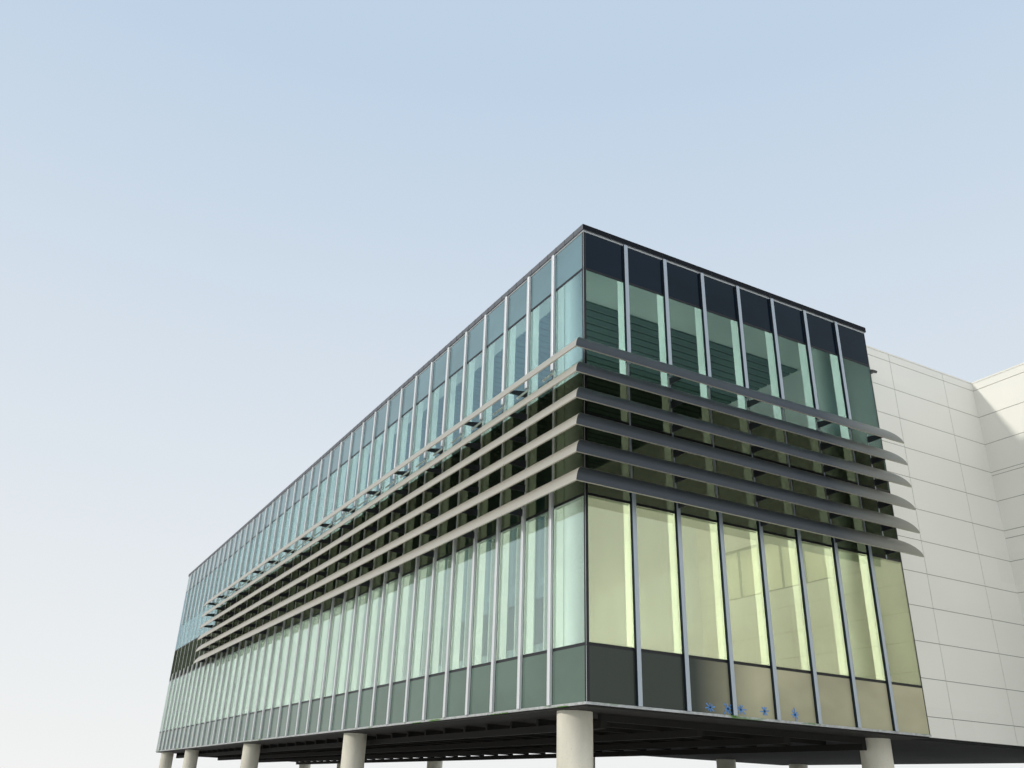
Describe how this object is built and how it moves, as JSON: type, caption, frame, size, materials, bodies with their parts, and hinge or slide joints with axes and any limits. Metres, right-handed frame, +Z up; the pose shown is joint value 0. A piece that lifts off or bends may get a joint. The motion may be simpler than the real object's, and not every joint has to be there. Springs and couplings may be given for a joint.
{
  "type": "half-size scale model of an airport terminal",
  "caption": "Glazed terminal hall on round columns with fins, curved louvres round the corner and a white panelled block; 1:2 scale model.",
  "frame": {"origin": "on the ground, under the centre of the whole plan", "axes": "+X along the short glazed face towards the white block, +Y along the long glazed face away from the louvred corner, +Z up"},
  "size_m": [13.055, 38.529, 8.683],
  "materials": {
    "base_spandrel_glass": "opaque coated glass",
    "bracket_metal": "dark grey paint",
    "concrete": "smooth cast concrete",
    "dark_coping": "dark grey paint",
    "dark_frame": "black paint",
    "fin_aluminium": "silver anodised",
    "louvre_aluminium": "satin silver paint",
    "mullion_white": "white paint",
    "silver_sill": "light grey paint",
    "top_spandrel_glass": "opaque coated glass",
    "vision_glass": "green tinted, reflective",
    "white_panel": "satin white panels",
    "white_plaster": "painted plaster"
  },
  "bodies": {
    "root": {"band_caps": "fin_aluminium", "band_glass": "vision_glass", "base_sills": "silver_sill", "base_spandrels": "base_spandrel_glass", "block_coping": "white_panel", "block_east_wall": "white_panel", "block_floor": "concrete", "block_north_wall": "white_panel", "block_roof": "white_plaster", "corner_posts": "dark_frame", "cross_ribs": "concrete", "dividing_wall": "white_plaster", "east_fins": "fin_aluminium", "east_mullions": "mullion_white", "hall_columns": "white_plaster", "hall_floor": "concrete", "hall_return": "white_panel", "hall_roof": "white_plaster", "long_ribs": "concrete", "louvre_blade_1": "louvre_aluminium", "louvre_blade_2": "louvre_aluminium", "louvre_blade_3": "louvre_aluminium", "louvre_blade_4": "louvre_aluminium", "louvre_blade_5": "louvre_aluminium", "louvre_blade_6": "louvre_aluminium", "lower_fins": "fin_aluminium", "lower_glass": "vision_glass", "party_wall": "white_panel", "recessed_wall": "white_panel", "ribbon_frames": "dark_frame", "ribbon_glass": "vision_glass", "roof_coping": "dark_coping", "round_columns": "concrete", "south_brackets": "bracket_metal", "south_mullions": "mullion_white", "top_spandrels": "top_spandrel_glass", "top_trims": "silver_sill", "transoms": "dark_frame", "upper_fins": "fin_aluminium", "upper_glass": "vision_glass", "wall_lamp": "dark_frame", "west_brackets": "bracket_metal", "west_mullions": "mullion_white", "wing_south_wall": "white_panel", "wing_west_wall": "white_panel"}
  },
  "joints": []
}
